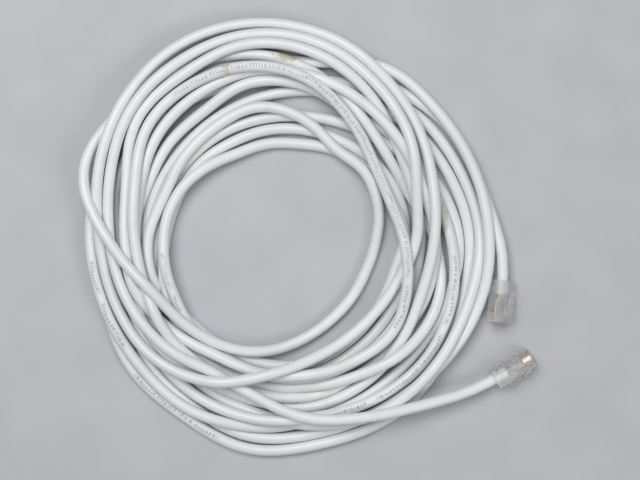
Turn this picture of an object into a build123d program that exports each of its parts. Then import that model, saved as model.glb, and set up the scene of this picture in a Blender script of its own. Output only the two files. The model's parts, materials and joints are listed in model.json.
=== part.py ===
from build123d import *
import os
from math import radians, tan

# A patch lead lying in a loose flat coil, with a clear modular plug on each free end.
# Millimetres, +Z up. The lead lies on the plane z = 0, with the origin under the middle of its box.

# Cable
cable_diameter = 5.4
cable_radius = cable_diameter / 2
# An arc of a free end takes this share of the shorter run on each side of its corner
arc_run_share = 0.45

# Coil: a wide lower bundle, a narrower upper bundle laid askew on it, and one loose inner loop.
# Each is set off from the coil's centre by a distance in a direction, in degrees from +X.
coil_center_x = -12.75
coil_center_y = -1.1
lower_offset = 6.6
lower_direction = -76.8
lower_outer_radius = 100.2
lower_turns = 9
lower_layers = 2
upper_offset = 23.0
upper_direction = 109.9
upper_outer_radius = 87.2
upper_turns = 3
upper_layers = 3
# A turn sinks between the two below it, so each further layer adds this share of a diameter
layer_rise_share = 0.87
turn_groove_depth = 0.4
bundle_foot = 1.4
loop_offset = 22.0
loop_direction = 147.6
loop_radius = 64.7
loop_lift = 0.3

# Plug housing, seen with its cable entry at y = 0, its nose towards +Y and its contacts towards +Z
plug_width = 11.68
plug_length = 21.46
latch_face_depth = 3.4
contact_face_height = 3.3
rear_face_height = 4.1
rear_block_length = 7.9
rear_step_run = 0.4
nose_lead = 0.7
nose_side_chamfer = 0.45
edge_radius = 0.3
cut_overrun = 1.0

# Cable pocket and conductor channel
pocket_width = 9.2
pocket_height = 5.7
pocket_corner_radius = 2.2
pocket_depth = 11.6
entry_flare = 0.35
channel_height = 1.1
channel_side_clearance = 0.1
nose_wall = 0.6

# Strain-relief windows in the contact face
jacket_window_start = 2.8
jacket_window_length = 3.7
jacket_window_width = 6.6
jacket_wedge_width = 5.8
jacket_wedge_drop = 1.2
jacket_wedge_tip = 0.9
jacket_grip_clearance = 0.05
wire_window_start = 8.6
wire_window_bar = 2.3
wire_window_width = 8.6
wire_window_floor = 1.3

# Contacts
contact_count = 8
contact_pitch = 1.02
contact_thickness = 0.35
contact_length = 4.4
contact_height = 1.95
contact_recess = 0.5
contact_crown_chamfer = 0.7
tine_width = 0.8
tine_spacing = 2.0
comb_length = 4.96
comb_slot_width = 0.5
comb_front_sill = 1.4
contact_end_clearance = 0.2

# Conductors
wire_diameter = 0.88
wire_radius = wire_diameter / 2
wire_sides = 8
wire_colours = [
    "white_orange",
    "orange",
    "white_green",
    "blue",
    "white_blue",
    "green",
    "white_brown",
    "brown",
]
jacket_depth = 7.0
bundle_pitch = 0.55
bundle_row_height = 0.66
wire_lead = 0.8
wire_fan_end = 11.3
wire_end_clearance = 0.2

# Latch tab, moulded on the face away from the contacts
latch_wide_width = 6.17
latch_narrow_width = 3.25
latch_thickness = 1.1
latch_length = 15.3
latch_shoulder_setback = 8.56
latch_shoulder_step = 0.6
latch_root_setback = 1.16
latch_root_length = 2.3
latch_bend_depth = 1.5
latch_bend_run = 0.9
latch_hinge_depth = 0.8
latch_hinge_run = 0.8
latch_rise = 4.6
latch_corner_radius = 0.7

# Where the plugs lie: the direction of the cable entry from the coil's centre and its reach past the lower
# bundle, then the heading of the nose, its pitch, and the tilt of the contact face from level, in degrees
plug_a_direction = -10.3
plug_a_reach = 9.5
plug_a_heading = -95.7
plug_a_pitch = 0.0
plug_a_contact_tilt = 224.0
plug_b_direction = -33.4
plug_b_reach = 24.1
plug_b_heading = 32.3
plug_b_pitch = 0.0
plug_b_contact_tilt = 18.0
# The free ends leave the plugs straight for this length
exit_length = 9.0

# Free ends, from just behind each plug to inside the coil: direction from the coil's centre in degrees,
# reach past the lower bundle, height
tail_a_route = [
    (4.7, 4.3, 8.6),
    (18.2, 0.2, 9.2),
    (30.8, -1.3, 8.0),
]
tail_b_route = [
    (-48.5, 6.8, 10.9),
    (-64.2, -4.6, 13.3),
    (-83.4, -11.9, 13.2),
    (-102.2, -24.2, 12.7),
    (-117.7, -32.9, 12.6),
]

os.makedirs("parts", exist_ok=True)


def keep(part, name):
    part.label = name
    export_step(part, f"parts/{name}.step")


def spot(direction, radius, height=0):
    """Point at that distance from the coil's axis."""
    return Vector(coil_center_x, coil_center_y, height) + Vector(radius, 0).rotate(Axis.Z, direction)


def plug_plane(entry, heading, pitch, contact_tilt):
    """Plane of a plug that lies on z = 0: +Y runs to its nose and +Z out of its contact face."""
    nose = Vector(1, 0, 0).rotate(Axis.Y, -pitch).rotate(Axis.Z, heading)
    left = Vector(0, 1, 0).rotate(Axis.Z, heading)
    contacts = left.rotate(Axis((0, 0, 0), nose), contact_tilt)
    flat = Plane(origin=entry, x_dir=nose.cross(contacts), z_dir=contacts)
    with BuildPart() as lying:
        with Locations(flat.location):
            add(housing.part)
    lowest = lying.part.bounding_box().min.Z
    return Plane(origin=entry - Vector(0, 0, lowest), x_dir=flat.x_dir, z_dir=flat.z_dir)


def route_radii(points):
    """Largest arc at each corner that leaves a straight piece of every run."""
    radii = []
    for before, corner, after in zip(points, points[1:], points[2:]):
        arriving = corner - before
        leaving = after - corner
        half_turn = radians(arriving.get_angle(leaving)) / 2
        radii.append(arc_run_share * min(arriving.length, leaving.length) / tan(half_turn))
    return radii


def bundle_ring(center, outer_radius, turns, layers):
    """Ring of cable turns lying side by side, flat below and grooved between the turns above."""
    height = cable_diameter * (1 + layer_rise_share * (layers - 1))
    groove_level = height - turn_groove_depth
    inner_radius = outer_radius - turns * cable_diameter
    with BuildPart() as ring:
        with BuildSketch(Plane(origin=center, x_dir=(1, 0, 0), z_dir=(0, -1, 0))):
            with BuildLine():
                outside = Polyline(
                    (inner_radius, groove_level),
                    (inner_radius, bundle_foot),
                    (inner_radius + bundle_foot, 0),
                    (outer_radius - bundle_foot, 0),
                    (outer_radius, bundle_foot),
                    (outer_radius, groove_level),
                )
                groove = outside @ 1
                for turn in range(turns):
                    next_groove = groove - Vector(cable_diameter, 0)
                    crest = groove + Vector(-cable_radius, turn_groove_depth)
                    ThreePointArc(groove, crest, next_groove)
                    groove = next_groove
            make_face()
        revolve(axis=Axis(center, (0, 0, 1)))
    return ring.part


# Latch tab: a springy strip that bends back from the nose, wide up to its locking shoulders
latch_face = -latch_face_depth
latch_root_front = plug_length - latch_root_setback
latch_root_back = latch_root_front - latch_root_length
latch_shoulder = plug_length - latch_shoulder_setback
latch_free_end = latch_root_front - latch_length
latch_outer_end = latch_face - latch_rise
latch_bend_level = latch_face - latch_bend_depth
latch_bend = latch_root_front - latch_bend_run
shoulder_share = (latch_bend - latch_shoulder) / (latch_bend - latch_free_end)
shoulder_level = latch_bend_level + shoulder_share * (latch_outer_end - latch_bend_level)
with BuildPart() as latch:
    with BuildSketch(Plane.YZ):
        with BuildLine():
            Polyline(
                (latch_root_front, latch_face + edge_radius),
                (latch_root_front, latch_face),
                (latch_bend, latch_bend_level),
                (latch_shoulder, shoulder_level - latch_shoulder_step),
                (latch_shoulder, shoulder_level),
                (latch_free_end, latch_outer_end),
                (latch_free_end, latch_outer_end + latch_thickness),
                (latch_root_back - latch_hinge_run, latch_face - latch_hinge_depth),
                (latch_root_back, latch_face),
                (latch_root_back, latch_face + edge_radius),
                close=True,
            )
        make_face()
    extrude(amount=latch_wide_width / 2, both=True)
    with BuildSketch(Plane.XY.offset(latch_outer_end - cut_overrun)) as plan:
        with Locations((0, latch_shoulder)):
            Rectangle(latch_wide_width, plug_length, align=(Align.CENTER, Align.MIN))
        with Locations((0, latch_free_end)):
            Rectangle(latch_narrow_width, plug_length, align=(Align.CENTER, Align.MIN))
        free_corners = plan.vertices().group_by(Axis.Y)[0]
        fillet(free_corners, radius=latch_corner_radius)
    extrude(amount=plug_length, mode=Mode.INTERSECT)

# Housing: one clear moulding with pocket, channel, windows, comb and latch
rear_window_end = jacket_window_start + jacket_window_length
wedge_root = rear_window_end + edge_radius
wedge_tip_level = pocket_height / 2 - jacket_wedge_drop
comb_start = plug_length - nose_wall - comb_length
wire_window_length = comb_start - wire_window_bar - wire_window_start
with BuildPart() as housing:
    with BuildSketch(Plane.YZ):
        with BuildLine():
            Polyline(
                (0, -latch_face_depth),
                (plug_length - nose_lead, -latch_face_depth),
                (plug_length, nose_lead - latch_face_depth),
                (plug_length, contact_face_height - nose_lead),
                (plug_length - nose_lead, contact_face_height),
                (rear_block_length + rear_step_run, contact_face_height),
                (rear_block_length, rear_face_height),
                (0, rear_face_height),
                close=True,
            )
        make_face()
    extrude(amount=plug_width / 2, both=True)
    fillet(housing.edges().filter_by(Axis.Y), radius=edge_radius)
    nose_face = housing.faces().sort_by(Axis.Y)[-1]
    chamfer(nose_face.edges().filter_by(Axis.Z), length=nose_side_chamfer)
    # Pocket that takes the jacket, with a flared mouth
    with BuildSketch(Plane.XZ):
        RectangleRounded(pocket_width, pocket_height, pocket_corner_radius)
    extrude(amount=-pocket_depth, mode=Mode.SUBTRACT)
    mouth = housing.faces().sort_by(Axis.Y)[0].inner_wires()[0]
    chamfer(mouth.edges(), length=entry_flare)
    # Channel that holds the conductors side by side
    with BuildSketch(Plane.XZ.offset(-pocket_depth + cut_overrun)):
        Rectangle(contact_count * contact_pitch + channel_side_clearance, channel_height)
    extrude(amount=pocket_depth - cut_overrun + nose_wall - plug_length, mode=Mode.SUBTRACT)
    # Window over the jacket, with the wedge that grips it
    with BuildSketch(Plane.XY.offset(rear_face_height)):
        with Locations((0, jacket_window_start)):
            Rectangle(jacket_window_width, jacket_window_length, align=(Align.CENTER, Align.MIN))
    extrude(amount=-rear_face_height, mode=Mode.SUBTRACT)
    with BuildSketch(Plane.YZ):
        with BuildLine():
            Polyline(
                (wedge_root, rear_face_height - jacket_wedge_tip),
                (jacket_window_start + jacket_wedge_tip, pocket_height / 2 + jacket_wedge_tip),
                (jacket_window_start + jacket_wedge_tip / 2, wedge_tip_level),
                (jacket_window_start + jacket_wedge_tip * 2, wedge_tip_level),
                (wedge_root, pocket_height / 2),
                close=True,
            )
        make_face()
    extrude(amount=jacket_wedge_width / 2, both=True)
    with BuildSketch(Plane.XZ):
        Circle(cable_radius + jacket_grip_clearance)
    extrude(amount=-pocket_depth, mode=Mode.SUBTRACT)
    # Window over the conductors, with the bar that holds them down as its floor
    with BuildSketch(Plane.XY.offset(wire_window_floor)):
        with Locations((0, wire_window_start)):
            Rectangle(wire_window_width, wire_window_length, align=(Align.CENTER, Align.MIN))
    extrude(amount=rear_face_height, mode=Mode.SUBTRACT)
    # Comb slots that hold the contacts, open through the upper part of the nose
    with BuildSketch():
        with Locations((0, comb_start)):
            with GridLocations(contact_pitch, 0, contact_count, 1):
                Rectangle(comb_slot_width, comb_length, align=(Align.CENTER, Align.MIN))
    extrude(amount=contact_face_height + cut_overrun, mode=Mode.SUBTRACT)
    with BuildSketch(Plane.XY.offset(comb_front_sill)):
        with Locations((0, comb_start + comb_length / 2)):
            with GridLocations(contact_pitch, 0, contact_count, 1):
                Rectangle(comb_slot_width, comb_length, align=(Align.CENTER, Align.MIN))
    extrude(amount=contact_face_height, mode=Mode.SUBTRACT)
    add(latch.part)

plug_a_entry = spot(plug_a_direction, lower_outer_radius + plug_a_reach)
plug_b_entry = spot(plug_b_direction, lower_outer_radius + plug_b_reach)
planes = {
    "plug_a": plug_plane(plug_a_entry, plug_a_heading, plug_a_pitch, plug_a_contact_tilt),
    "plug_b": plug_plane(plug_b_entry, plug_b_heading, plug_b_pitch, plug_b_contact_tilt),
}

for plug, plane in planes.items():
    with BuildPart() as placed_housing:
        with Locations(plane.location):
            add(housing.part)
    keep(placed_housing.part, f"{plug}_housing")

# Contact blades, each with two tines that bear on its conductor
blade_back = comb_start + contact_end_clearance
blade_front = blade_back + contact_length
blade_top = contact_face_height - contact_recess
blade_base = blade_top - contact_height
tine_level = wire_radius
blade_middle = (blade_back + blade_front) / 2
front_tine = blade_middle + tine_spacing / 2
back_tine = blade_middle - tine_spacing / 2
# Conductors, from the cut end of the jacket to the nose
wire_end = plug_length - nose_wall - wire_end_clearance
for position, colour in enumerate(wire_colours):
    across = position - (contact_count - 1) / 2
    pin_x = across * contact_pitch
    start_x = across * bundle_pitch
    start_z = bundle_row_height if position % 2 else -bundle_row_height
    with BuildPart() as blade:
        with BuildSketch(Plane.YZ.offset(pin_x)):
            with BuildLine():
                Polyline(
                    (blade_back, blade_base),
                    (blade_back, blade_top),
                    (blade_front - contact_crown_chamfer, blade_top),
                    (blade_front, blade_top - contact_crown_chamfer),
                    (blade_front, blade_base),
                    (front_tine + tine_width / 2, blade_base),
                    (front_tine + tine_width / 2, tine_level),
                    (front_tine - tine_width / 2, tine_level),
                    (front_tine - tine_width / 2, blade_base),
                    (back_tine + tine_width / 2, blade_base),
                    (back_tine + tine_width / 2, tine_level),
                    (back_tine - tine_width / 2, tine_level),
                    (back_tine - tine_width / 2, blade_base),
                    close=True,
                )
            make_face()
        extrude(amount=contact_thickness / 2, both=True)
    with BuildPart() as wire:
        with BuildLine() as wire_route:
            Polyline(
                (start_x, jacket_depth, start_z),
                (start_x, jacket_depth + wire_lead, start_z),
                (pin_x, wire_fan_end, 0),
                (pin_x, wire_end, 0),
            )
        with BuildSketch(Plane(origin=wire_route.line @ 0, z_dir=wire_route.line % 0)):
            RegularPolygon(wire_radius, wire_sides)
        sweep(transition=Transition.RIGHT)
    for plug, plane in planes.items():
        with BuildPart() as placed_blade:
            with Locations(plane.location):
                add(blade.part)
        keep(placed_blade.part, f"{plug}_contact_{position + 1}")
        with BuildPart() as placed_wire:
            with Locations(plane.location):
                add(wire.part)
        keep(placed_wire.part, f"{plug}_wire_{colour}")

# Free ends of the cable, from the cut end of the jacket in each plug to the coil
tails = {}
for plug, route in (("plug_a", tail_a_route), ("plug_b", tail_b_route)):
    plane = planes[plug]
    jacket_end = plane.origin + plane.y_dir * jacket_depth
    behind_plug = plane.origin - plane.y_dir * exit_length
    points = [jacket_end, behind_plug]
    for direction, reach, height in route:
        points.append(spot(direction, lower_outer_radius + reach, height))
    radii = route_radii(points)
    with BuildPart() as tail:
        with BuildLine() as tail_route:
            FilletPolyline(*points, radius=radii)
        with BuildSketch(Plane(origin=tail_route.line @ 0, z_dir=tail_route.line % 0)) as section:
            Circle(cable_radius)
        sweep()
    name = plug.replace("plug", "cable_tail")
    tail_length = tail_route.wire().length
    volume_share = tail.part.volume / (section.sketch.area * tail_length)
    print(name, "points", [tuple(round(value, 2) for value in point) for point in points])
    print(name, "radii", [round(radius, 1) for radius in radii])
    print(name, "length", round(tail_length, 1), "volume share", round(volume_share, 4))
    tails[name] = tail.part
    keep(tail.part, name)

# Coil: the outer shape of all its turns, with the grooves that the free ends lie in
with BuildPart() as coil:
    add(bundle_ring(spot(lower_direction, lower_offset), lower_outer_radius, lower_turns, lower_layers))
    add(bundle_ring(spot(upper_direction, upper_offset), upper_outer_radius, upper_turns, upper_layers))
    with Locations(spot(loop_direction, loop_offset, cable_radius + loop_lift)):
        Torus(loop_radius, cable_radius)
    for tail_part in tails.values():
        add(tail_part, mode=Mode.SUBTRACT)
keep(coil.part, "cable_coil")
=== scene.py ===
import json
from math import pi

import bpy
import numpy as np
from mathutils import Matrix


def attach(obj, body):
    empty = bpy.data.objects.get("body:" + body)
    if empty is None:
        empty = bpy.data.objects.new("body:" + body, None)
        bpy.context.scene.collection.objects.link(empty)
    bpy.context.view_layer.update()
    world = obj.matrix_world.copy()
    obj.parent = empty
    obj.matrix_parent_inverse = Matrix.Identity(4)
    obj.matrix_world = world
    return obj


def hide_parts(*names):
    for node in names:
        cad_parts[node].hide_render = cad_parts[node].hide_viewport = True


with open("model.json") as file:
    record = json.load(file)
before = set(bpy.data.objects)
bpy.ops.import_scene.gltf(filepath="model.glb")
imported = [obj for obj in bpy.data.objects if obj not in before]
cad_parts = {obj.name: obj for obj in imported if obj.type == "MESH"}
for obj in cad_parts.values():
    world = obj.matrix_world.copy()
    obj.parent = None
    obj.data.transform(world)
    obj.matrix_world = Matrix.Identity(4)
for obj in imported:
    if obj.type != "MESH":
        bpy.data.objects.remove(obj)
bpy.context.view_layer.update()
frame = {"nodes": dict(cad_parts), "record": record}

MM = 0.001

# The lead: its jacket, and its whole length as followed through the photograph
CABLE_DIAMETER = 5.4 * MM
CABLE_LENGTH = 7.4

# The photograph: its scale on the table, and the pixel that the coil's turns are measured about
PIXEL = 0.49 * MM
IMAGE_WIDTH_PX = 640
IMAGE_CENTER_PX = (320, 240)
COIL_CENTER_PX = (283, 240)
COIL_CENTER = (-12.75 * MM, -1.1 * MM)

# Free ends: the points of the route in the part's source, from the cut end of the jacket in the plug to the
# coil. From its third point on, that of plug A is moved down and in, since it comes out from under the coil.
TAIL_A_ROUTE_MM = [
    (94.49, -27.68, 6.92),
    (96.08, -11.76, 6.92),
    (91.4, 7.46, 5.2),
    (82.9, 30.26, 2.9),
    (76.0, 44.3, 2.7),
    (69.3, 54.3, 2.7),
]
TAIL_B_ROUTE_MM = [
    (96.94, -65.78, 6.53),
    (83.41, -74.33, 6.53),
    (58.15, -81.24, 10.9),
    (28.86, -87.17, 13.3),
    (-2.6, -88.81, 13.2),
    (-28.81, -75.38, 12.7),
]
# Of those, the points next to each plug stay where they are; the others settle with the coil
TAIL_A_HELD = 4
TAIL_B_HELD = 3
# Levels, in turns, that the free ends have among the coil's. That of plug A lies under all. That of plug B,
# from the coil on, comes out from under the last turn but one and then lies over all.
TAIL_A_LEVEL = 0
TAIL_B_LEVELS = [12.4, 17, 17, 17, 17, 17]

# Turns of the coil in running order: radius in photo pixels at each station, counter-clockwise from the
# right. The first turn begins at FIRST_STATION, where the free end of plug A joins it.
STATION_DEGREES = 20
FIRST_STATION = 2
TURN_RADII_PX = [
    [199, 187, 191, 200, 204, 200, 193, 187, 191, 201, 203, 213, 207, 206, 200, 192],
    [190, 181, 172, 160, 152, 144, 138, 134, 134, 140, 157, 180, 188, 200, 198, 197, 200, 204],
    [204, 203, 201, 201, 181, 186, 193, 199, 195, 192, 190, 190, 193, 187, 180, 177, 175, 176],
    [177, 165, 148, 136, 128, 125, 125, 125, 127, 131, 138, 152, 165, 174, 188, 199, 199, 198],
    [199, 192, 186, 175, 164, 161, 168, 176, 177, 165, 163, 171, 179, 182, 182, 185, 187, 180],
    [168, 154, 151, 145, 158, 166, 153, 149, 142, 145, 150, 149, 141, 143, 147, 153, 164, 166],
    [150, 130, 131, 146, 169, 187, 197, 205, 210, 172, 142, 131, 125, 115, 103, 94, 90, 89],
    [94, 103, 108, 106, 123, 136, 132, 128, 124, 133, 134, 127, 129, 136, 135, 127, 122, 122],
    [126, 123, 117, 113, 112, 112, 112, 117, 121, 125, 132, 136, 136, 139, 140, 136, 131, 126],
    [124, 119, 113, 106, 99, 99, 100, 110, 120, 122, 125, 129, 131, 136, 140, 141, 141, 139],
    [139, 142, 152, 172, 190, 199, 193, 190, 165, 155, 155, 146, 134, 135, 137, 140, 143, 132],
    [121, 114, 119, 138, 162, 176, 180, 177, 158, 150, 148, 150, 150, 155, 160, 158, 157, 156],
    [154, 149, 152, 158, 165, 169, 168, 164, 153, 148, 158, 163, 160, 160, 164, 160, 153, 147],
    [150, 158, 174, 190, 207, 219, 220, 208, 195, 183, 179, 175, 160, 138, 124, 118, 117, 121],
    [132, 140, 162, 182, 201, 209, 207, 202, 186, 174, 165, 155, 147],
]
# Stretches that lie higher or lower than their place in the running order has it: turn, first and last
# degree, level
LIFTED_STRETCHES = [
    (5, 285, 350, 15.6),
    (6, 160, 262, 17),
    (7, 25, 200, 10.5),
    (10, 298, 360, 15),
    (11, 0, 150, 15),
    (12, 185, 240, 6.3),
    (14, 226, 245, 12.4),
]
POINTS_PER_STATION = 3
# A level is a diameter high before the turns sink, and steps between levels are smoothed in so many passes
LEVEL_RISE = CABLE_DIAMETER
LEVEL_PASSES = 8

# Settling: rounds, contact passes in each, rounds between searches for what is near, sinking per round at
# the start and at the end, and the share of a slip in plan that stays
SETTLE_ROUNDS = 400
CONTACT_PASSES = 3
PAIRS_EVERY = 10
FIRST_SINK = 0.46 * MM
LAST_SINK = 0.02 * MM
PLACE_HOLD_SHARE = 0.98
# Cables closer in plan than this share of a diameter cross, and slip sideways only by the second share
CROSSING_SHARE = 0.7
SLIP_SHARE = 0.2
# Only what is this close in plan, and more than so many points along, is looked at for contact
CONTACT_REACH = 1.3 * CABLE_DIAMETER
OWN_NEIGHBOURS = 5
# Fineness of the jacket's round section, and steps in each span of its curve
SECTION_RESOLUTION = 5
SPAN_STEPS = 3

# Print along the jacket: turn, first and last degree of each stretch that shows it, in running order
PRINTED_STRETCHES = [
    (0, 222, 252),
    (2, 186, 214),
    (4, 276, 358),
    (9, 186, 214),
    (10, 322, 359),
    (11, 0, 128),
]
PRINT_MARK = 0.6 * MM
PRINT_WORD = 9.0 * MM
PRINT_HEIGHT = 1.6 * MM
PRINT_INK = (0.40, 0.41, 0.43, 1)
# Levels of the noise between which a stroke is inked, and a gap between groups of strokes ends
PRINT_STROKE = (0.46, 0.54)
PRINT_GAP = (0.34, 0.38)
# The texture's place across the jacket: its uppermost line, and how far the print strays from it
JACKET_TOP = 0.18
PRINT_STRAY = 0.16
# Stains: photo pixel, half width and half height in pixels, height over the table, colour
STAINS = [
    ((227, 67), (11, 17), 12 * MM, (0.52, 0.48, 0.34, 1)),
    ((286, 56), (24, 10), 9 * MM, (0.42, 0.38, 0.25, 1)),
    ((442, 218), (12, 40), 9 * MM, (0.42, 0.43, 0.36, 1)),
]
STAIN_DEPTH = 9 * MM
# A stain's outline is broken by noise: its grain and detail, its share, and the mask from core to rim
STAIN_GRAIN = (260, 3)
STAIN_BREAK = 0.9
STAIN_MASK = ((0.85, 0.75), (1.45, 0))

# Mottled finishes: cells per metre, detail and roughness of the noise, then the colour or grey at two levels
MOTTLES = {
    "jacket_colour": ((9, 4, 0.6), (0.3, (0.70, 0.72, 0.735, 1)), (0.6, (0.77, 0.78, 0.785, 1))),
    "jacket_grime": ((45, 5, 0.65), (0.56, 0), (0.78, 0.5)),
    "jacket_roughness": ((60, 3), (0.3, 0.30), (0.7, 0.44)),
    "clear_roughness": ((300, 3), (0.35, 0.05), (0.7, 0.16)),
    "contact_colour": ((700, 3), (0.3, (0.70, 0.60, 0.40, 1)), (0.7, (0.82, 0.73, 0.54, 1))),
    "contact_roughness": ((900, 2), (0.3, 0.30), (0.7, 0.46)),
    "wire_roughness": ((800, 2), (0.3, 0.32), (0.7, 0.48)),
    "floor_colour": ((30, 4), (0.35, (0.47, 0.48, 0.50, 1)), (0.65, (0.50, 0.51, 0.53, 1))),
}
# Uneven surfaces: grain and detail of the noise, height, strength
JACKET_PIMPLES = ((420, 3), 0.1 * MM, 0.25)
CLEAR_RIPPLES = ((500, 2), 0.05 * MM, 0.2)
GRIME_COLOUR = (0.62, 0.61, 0.56, 1)
FLOOR_ROUGHNESS = 0.75

# Clear moulding: how density changes as a face turns away, and the colour, from the plastic's own tint
# facing up to a painted shade where it turns away
CLEAR_IOR = 1.58
CLEAR_FACING_BLEND = 0.4
CLEAR_TINT_AND_PAINTED_SHADE = ((0.2, (0.93, 0.93, 0.92, 1)), (0.8, (0.62, 0.61, 0.59, 1)))
CLEAR_DENSITIES = ((0.1, 0.22), (0.75, 0.8))
CLEAR_TRANSMISSION = 0.6
# Its edges: their rounding, how far that has to turn to count as edge, the painted shade along them, and
# their density
EDGE_RADIUS = 0.45 * MM
EDGE_SAMPLES = 8
EDGE_TURN = ((0.78, 1), (0.97, 0))
# painted shade: dark outline colour along the rounded edges
EDGE_PAINTED_SHADE = (0.22, 0.22, 0.23, 1)
EDGE_DENSITY = 0.72

# Conductors: how far their colours are paled, as they are behind the clear moulding, and their mottle
WIRE_PALE_SHARE = 0.35
WIRE_PALE = 0.62
WIRE_DARK_SHARE = 0.8
WIRE_GRAIN = (500, 3)
WIRE_MOTTLE = (0.35, 0.65)

# Camera, straight down as in the photograph, whose scale holds at the height of the coil's turns
CAMERA_HEIGHT = 0.75
SENSOR_WIDTH_MM = 36
SCALE_LEVEL = 8 * MM

# Studio
FLOOR_SIZE = 3.0
KEY_SIZE = 0.7
KEY_PLACE = (-0.25, 0.35, 1.0)
KEY_WATTS = 8.0
FILL_SIZE = 0.6
FILL_PLACE = (0.7, -0.5, 0.9)
FILL_WATTS = 3.6
WORLD_COLOUR = (0.95, 0.97, 1.0, 1)
WORLD_STRENGTH = 0.26


def smoothed(values):
    """Each value drawn towards its two neighbours; the two ends stay."""
    inner = (values[:-2] + 2 * values[1:-1] + values[2:]) / 4
    return np.concatenate([values[:1], inner, values[-1:]])


def coil_points():
    """Points of the turns in running order, as high as their levels, from where they can sink."""
    stations = np.concatenate([np.array(row, float) for row in TURN_RADII_PX])
    count = len(stations)
    at = np.linspace(0, count - 1, POINTS_PER_STATION * (count - 1) + 1)
    slope = np.gradient(stations)
    before = np.minimum(at.astype(int), count - 2)
    t = at - before
    radius = (
        (1 + 2 * t) * (1 - t) ** 2 * stations[before]
        + t * (1 - t) ** 2 * slope[before]
        + t ** 2 * (3 - 2 * t) * stations[before + 1]
        + t ** 2 * (t - 1) * slope[before + 1]
    ) * PIXEL
    degrees = (at + FIRST_STATION) * STATION_DEGREES
    level = degrees / 360
    for turn, first, last, lifted in LIFTED_STRETCHES:
        level[(degrees > 360 * turn + first) & (degrees < 360 * turn + last)] = lifted
    for _ in range(LEVEL_PASSES):
        level = smoothed(level)
    angle = np.radians(degrees)
    return np.stack(
        [
            COIL_CENTER[0] + radius * np.cos(angle),
            COIL_CENTER[1] + radius * np.sin(angle),
            CABLE_DIAMETER / 2 + level * LEVEL_RISE,
        ],
        axis=1,
    )


def near_pairs(point):
    """Points, and the stretches between points of other turns, that are close enough to touch."""
    start, end = point[:-1], point[1:]
    reach = CONTACT_REACH + np.linalg.norm(end - start, axis=1) / 2
    apart = np.linalg.norm(point[:, None, :2] - (start + end)[None, :, :2] / 2, axis=2)
    steps = np.abs(np.arange(len(point))[:, None] - np.arange(len(start))[None, :])
    return np.nonzero((apart < reach[None, :]) & (steps > OWN_NEIGHBOURS))


def push_apart(point, rank, held, who, stretch):
    """Moves points and stretches that lie in each other to a diameter apart, and keeps them on the floor.

    Where one crosses the other, the one of higher rank is raised. Side by side they slip apart.
    """
    start = point[stretch]
    along = point[stretch + 1] - start
    t = ((point[who] - start) * along).sum(axis=1) / (along ** 2).sum(axis=1)
    t = np.clip(t, 0, 1)
    across = point[who] - start - t[:, None] * along
    in_plan = np.linalg.norm(across[:, :2], axis=1)
    above = np.where(rank[who] > (1 - t) * rank[stretch] + t * rank[stretch + 1], 1, -1)
    crossing = in_plan < CROSSING_SHARE * CABLE_DIAMETER
    rise = np.sqrt(np.maximum(CABLE_DIAMETER ** 2 - in_plan ** 2, 0))
    lift = np.where(crossing, np.maximum(rise - above * across[:, 2], 0) * above / 2, 0)
    distance = np.linalg.norm(across, axis=1)
    overlap = np.maximum(CABLE_DIAMETER - distance, 0) / 2
    push = across * (np.where(crossing, SLIP_SHARE, 1) * overlap / np.maximum(distance, MM))[:, None]
    push[:, 2] = np.where(crossing, lift, push[:, 2])
    touch = (np.abs(push) > 0).any(axis=1)
    push = push[touch]
    share = t[touch]
    moved = np.concatenate([who[touch], stretch[touch], stretch[touch] + 1])
    weight = np.concatenate([np.ones_like(share), 1 - share, share])
    pushes = np.concatenate([push, -push * (1 - share)[:, None], -push * share[:, None]])
    total = np.maximum(np.bincount(moved, weight, len(point)), 1)
    for axis in range(3):
        step = np.bincount(moved, pushes[:, axis], len(point)) / total
        point[:, axis] += np.where(held, 0, step)
    point[:, 2] = np.maximum(point[:, 2], CABLE_DIAMETER / 2)


def settle(point, rank, held):
    """Lets the cable sink under its weight until its turns lie on the floor and on each other."""
    place = point[:, :2].copy()
    for step in range(SETTLE_ROUNDS):
        if step % PAIRS_EVERY == 0:
            who, stretch = near_pairs(point)
        sink = FIRST_SINK * (1 - step / SETTLE_ROUNDS) + LAST_SINK
        shift = smoothed(point[:, :2] - place) * PLACE_HOLD_SHARE
        height = smoothed(point[:, 2] - sink)
        settled = np.column_stack([place + shift, height])
        point = np.where(held[:, None], point, settled)
        for _ in range(CONTACT_PASSES):
            push_apart(point, rank, held, who, stretch)
    return point


def lay_cable():
    """Control points of the whole lead, from plug A through the coil to plug B."""
    tail_a = np.array(TAIL_A_ROUTE_MM) * MM
    tail_b = np.array(TAIL_B_ROUTE_MM[::-1]) * MM
    levels_b = CABLE_DIAMETER / 2 + np.array(TAIL_B_LEVELS) * LEVEL_RISE
    tail_b[:-TAIL_B_HELD, 2] = levels_b[:-TAIL_B_HELD]
    point = np.concatenate([tail_a, coil_points(), tail_b])
    rank = point[:, 2].copy()
    rank[:len(tail_a)] = CABLE_DIAMETER / 2 + TAIL_A_LEVEL * LEVEL_RISE
    rank[-len(tail_b):] = levels_b
    held = np.zeros(len(point), bool)
    held[:TAIL_A_HELD] = True
    held[-TAIL_B_HELD:] = True
    return settle(point, rank, held)


def cable_curve(points):
    curve = bpy.data.curves.new("cable", "CURVE")
    curve.dimensions = "3D"
    curve.bevel_depth = CABLE_DIAMETER / 2
    curve.bevel_resolution = SECTION_RESOLUTION
    curve.use_fill_caps = True
    curve.twist_mode = "Z_UP"
    spline = curve.splines.new("NURBS")
    spline.points.add(len(points) - 1)
    for target, point in zip(spline.points, points):
        target.co = (*point, 1)
    spline.order_u = 3
    spline.use_endpoint_u = True
    spline.resolution_u = SPAN_STEPS
    cable = bpy.data.objects.new("cable", curve)
    bpy.context.scene.collection.objects.link(cable)
    return cable


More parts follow.
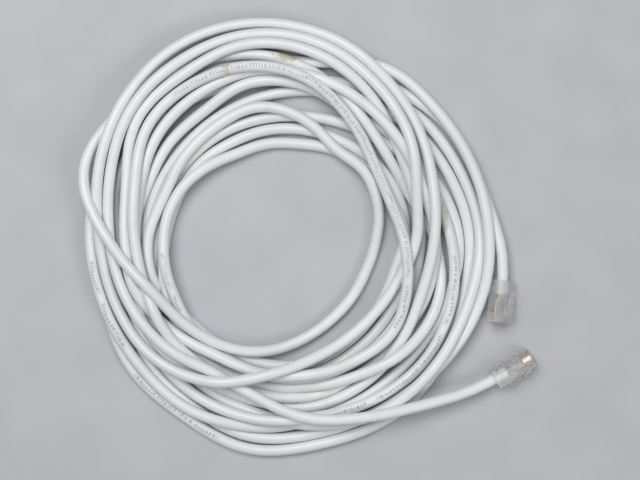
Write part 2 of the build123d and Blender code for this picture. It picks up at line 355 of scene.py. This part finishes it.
class Nodes:
    """A material's node tree, with a short call for adding and linking nodes."""

    def __init__(self, name):
        self.material = bpy.data.materials.new(name)
        self.material.use_nodes = True
        self.tree = self.material.node_tree
        self.shader = self.tree.nodes["Principled BSDF"]

    def add(self, kind, inputs=(), **settings):
        node = self.tree.nodes.new(kind)
        for key, value in settings.items():
            setattr(node, key, value)
        for key, value in dict(inputs).items():
            self.feed(node.inputs[key], value)
        return node

    def feed(self, socket, value):
        if isinstance(value, bpy.types.NodeSocket):
            self.tree.links.new(value, socket)
        else:
            socket.default_value = value

    def noise(self, scale, detail=2.0, roughness=0.5):
        place = self.add("ShaderNodeNewGeometry").outputs["Position"]
        settings = {"Vector": place, "Scale": scale, "Detail": detail, "Roughness": roughness}
        return self.add("ShaderNodeTexNoise", settings).outputs["Fac"]

    def ramp(self, factor, *stops):
        """Two stops: a level of the factor, and the colour or grey there."""
        node = self.add("ShaderNodeValToRGB", {"Fac": factor})
        for element, (position, colour) in zip(node.color_ramp.elements, stops):
            element.position = position
            element.color = colour if isinstance(colour, tuple) else grey(colour)
        return node.outputs["Color"]

    def mottle(self, name):
        grain, *stops = MOTTLES[name]
        return self.ramp(self.noise(*grain), *stops)

    def math(self, operation, *values):
        node = self.add("ShaderNodeMath", operation=operation)
        for socket, value in zip(node.inputs, values):
            self.feed(socket, value)
        return node.outputs["Value"]

    def vector(self, operation, *values):
        node = self.add("ShaderNodeVectorMath", operation=operation)
        for socket, value in zip(node.inputs, values):
            self.feed(socket, value)
        return node.outputs["Value" if operation in ("LENGTH", "DOT_PRODUCT") else "Vector"]

    def mix(self, factor, first, second):
        node = self.add("ShaderNodeMix", data_type="RGBA")
        for socket, value in zip((node.inputs[0], node.inputs[6], node.inputs[7]), (factor, first, second)):
            self.feed(socket, value)
        return node.outputs[2]

    def bump(self, grain, distance, strength, **normal):
        settings = {"Height": self.noise(*grain), "Distance": distance, "Strength": strength, **normal}
        return self.add("ShaderNodeBump", settings).outputs["Normal"]

    def set(self, **sockets):
        for name, value in sockets.items():
            self.feed(self.shader.inputs[name.replace("_", " ")], value)
        return self.material


def grey(value):
    return (value, value, value, 1)


def on_table(pixel):
    """Place in plan of a pixel of the photograph."""
    right = (pixel[0] - COIL_CENTER_PX[0]) * PIXEL
    up = (COIL_CENTER_PX[1] - pixel[1]) * PIXEL
    return COIL_CENTER[0] + right, COIL_CENTER[1] + up


def print_mask(nodes, point_count):
    """Where the printed line shows: plain strokes in a narrow band, on the stretches that face up."""
    uv = nodes.add("ShaderNodeTexCoord").outputs["UV"]
    place = nodes.add("ShaderNodeSeparateXYZ", {"Vector": uv}).outputs
    girth = pi * CABLE_DIAMETER
    noises = []
    for size in (PRINT_MARK, PRINT_WORD):
        along = nodes.vector("MULTIPLY", uv, (CABLE_LENGTH / size, 0, 0))
        settings = {"Vector": along, "Scale": 1.0, "Detail": 0.0}
        noises.append(nodes.add("ShaderNodeTexNoise", settings).outputs["Fac"])
    mark, word = noises
    stray = nodes.math("MULTIPLY_ADD", word, PRINT_STRAY, JACKET_TOP - PRINT_STRAY / 2)
    off_line = nodes.math("ABSOLUTE", nodes.math("SUBTRACT", place["Y"], stray))
    band = nodes.math("LESS_THAN", off_line, PRINT_HEIGHT / girth / 2)
    inked = nodes.ramp(mark, (PRINT_STROKE[0], 0), (PRINT_STROKE[1], 1))
    spaced = nodes.ramp(word, (PRINT_GAP[0], 0), (PRINT_GAP[1], 1))
    # The curve has two spans fewer than points, and a point is about the middle of its span
    spans = point_count - 2
    shown = 0.0
    for turn, first, last in PRINTED_STRETCHES:
        middle = (360 * turn + (first + last) / 2) / STATION_DEGREES - FIRST_STATION
        reach = (last - first) / 2 / STATION_DEGREES
        point = len(TAIL_A_ROUTE_MM) + POINTS_PER_STATION * middle - 0.5
        here = nodes.math("COMPARE", place["X"], point / spans, POINTS_PER_STATION * reach / spans)
        shown = nodes.math("MAXIMUM", here, shown)
    strokes = nodes.math("MULTIPLY", band, inked)
    return nodes.math("MULTIPLY", strokes, nodes.math("MULTIPLY", spaced, shown))


def stain_mask(nodes, pixel, half_size, level):
    place = nodes.add("ShaderNodeNewGeometry").outputs["Position"]
    middle = (*on_table(pixel), level)
    offset = nodes.vector("SUBTRACT", place, middle)
    reach = (1 / (half_size[0] * PIXEL), 1 / (half_size[1] * PIXEL), 1 / STAIN_DEPTH)
    distance = nodes.vector("LENGTH", nodes.vector("MULTIPLY", offset, reach))
    blotch = nodes.math("MULTIPLY_ADD", nodes.noise(*STAIN_GRAIN), STAIN_BREAK, distance)
    return nodes.ramp(blotch, *STAIN_MASK)


def jacket_material(point_count):
    nodes = Nodes("jacket_pvc")
    colour = nodes.mix(nodes.mottle("jacket_grime"), nodes.mottle("jacket_colour"), GRIME_COLOUR)
    for pixel, half_size, level, stain in STAINS:
        colour = nodes.mix(stain_mask(nodes, pixel, half_size, level), colour, stain)
    colour = nodes.mix(print_mask(nodes, point_count), colour, PRINT_INK)
    normal = nodes.bump(*JACKET_PIMPLES)
    return nodes.set(Base_Color=colour, Roughness=nodes.mottle("jacket_roughness"), Normal=normal)


def clear_material():
    """Clear moulding: denser where it turns away; painted shade darkens its colour there, and most along its
    rounded edges.
    """
    nodes = Nodes("clear_polycarbonate")
    facing = nodes.add("ShaderNodeLayerWeight", {"Blend": CLEAR_FACING_BLEND}).outputs["Facing"]
    rounded = nodes.add("ShaderNodeBevel", {"Radius": EDGE_RADIUS}, samples=EDGE_SAMPLES).outputs["Normal"]
    flat = nodes.add("ShaderNodeNewGeometry").outputs["Normal"]
    edge = nodes.ramp(nodes.vector("DOT_PRODUCT", rounded, flat), *EDGE_TURN)
    # painted shade: the colour darkens where a face turns away, and darkest along the rounded edges
    colour = nodes.mix(edge, nodes.ramp(facing, *CLEAR_TINT_AND_PAINTED_SHADE), EDGE_PAINTED_SHADE)
    alpha = nodes.mix(edge, nodes.ramp(facing, *CLEAR_DENSITIES), grey(EDGE_DENSITY))
    through = nodes.math("MULTIPLY_ADD", edge, -CLEAR_TRANSMISSION, CLEAR_TRANSMISSION)
    nodes.set(IOR=CLEAR_IOR, Specular_IOR_Level=1.0)
    nodes.set(Roughness=nodes.mottle("clear_roughness"), Normal=nodes.bump(*CLEAR_RIPPLES, Normal=rounded))
    return nodes.set(Base_Color=colour, Alpha=alpha, Transmission_Weight=through)


def contact_material():
    nodes = Nodes("gold_plating")
    nodes.set(Metallic=1.0)
    return nodes.set(Base_Color=nodes.mottle("contact_colour"), Roughness=nodes.mottle("contact_roughness"))


def wire_material(slot, base):
    nodes = Nodes(slot)
    paled = [value + WIRE_PALE_SHARE * (WIRE_PALE - value) for value in base[:3]]
    dark = [WIRE_DARK_SHARE * value for value in paled]
    stops = zip(WIRE_MOTTLE, ((*dark, 1), (*paled, 1)))
    colour = nodes.ramp(nodes.noise(*WIRE_GRAIN), *stops)
    return nodes.set(Base_Color=colour, Roughness=nodes.mottle("wire_roughness"))


def floor_material():
    nodes = Nodes("table")
    return nodes.set(Base_Color=nodes.mottle("floor_colour"), Roughness=FLOOR_ROUGHNESS)


def dress_nodes():
    """Gives every CAD node that stays in view a material of its own by its record slot."""
    slots = {part["node"]: part["material_slot"] for part in frame["record"]["subparts"]}
    colours = {entry["slot"]: entry["base_color"] for entry in frame["record"]["materials"]}
    made = {"clear_plastic": clear_material(), "gold_contact": contact_material()}
    for name, node in frame["nodes"].items():
        slot = slots[name]
        if slot == "jacket":
            continue
        if slot not in made:
            made[slot] = wire_material(slot, colours[slot])
        node.data.materials.clear()
        node.data.materials.append(made[slot])


def area_light(name, place, size, watts):
    light = bpy.data.lights.new(name, "AREA")
    light.shape = "DISK"
    light.size = size
    light.energy = watts
    lamp = bpy.data.objects.new(name, light)
    lamp.location = place
    lamp.rotation_euler = (-lamp.location).to_track_quat("-Z", "Y").to_euler()
    bpy.context.scene.collection.objects.link(lamp)


def add_floor():
    mesh = bpy.data.meshes.new("floor")
    half = FLOOR_SIZE / 2
    corners = [(-half, -half, 0), (half, -half, 0), (half, half, 0), (-half, half, 0)]
    mesh.from_pydata(corners, [], [(0, 1, 2, 3)])
    mesh.materials.append(floor_material())
    floor = bpy.data.objects.new("floor", mesh)
    bpy.context.scene.collection.objects.link(floor)


def add_camera():
    """Straight above the middle of the photograph, with its scale at the height of the coil's turns."""
    camera = bpy.data.cameras.new("camera")
    camera.sensor_width = SENSOR_WIDTH_MM
    camera.lens = SENSOR_WIDTH_MM * (CAMERA_HEIGHT - SCALE_LEVEL) / (IMAGE_WIDTH_PX * PIXEL)
    eye = bpy.data.objects.new("camera", camera)
    eye.location = (*on_table(IMAGE_CENTER_PX), CAMERA_HEIGHT)
    bpy.context.scene.collection.objects.link(eye)
    bpy.context.scene.camera = eye


def add_world():
    world = bpy.data.worlds.new("studio")
    world.use_nodes = True
    background = world.node_tree.nodes["Background"]
    background.inputs["Color"].default_value = WORLD_COLOUR
    background.inputs["Strength"].default_value = WORLD_STRENGTH
    bpy.context.scene.world = world


cable_points = lay_cable()
cable = cable_curve(cable_points)
cable.data.materials.append(jacket_material(len(cable_points)))
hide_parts("cable_coil", "cable_tail_a", "cable_tail_b")
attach(cable, "root")
dress_nodes()

add_floor()
add_world()
area_light("key", KEY_PLACE, KEY_SIZE, KEY_WATTS)
area_light("fill", FILL_PLACE, FILL_SIZE, FILL_WATTS)
add_camera()
bpy.context.scene.view_settings.view_transform = "Standard"
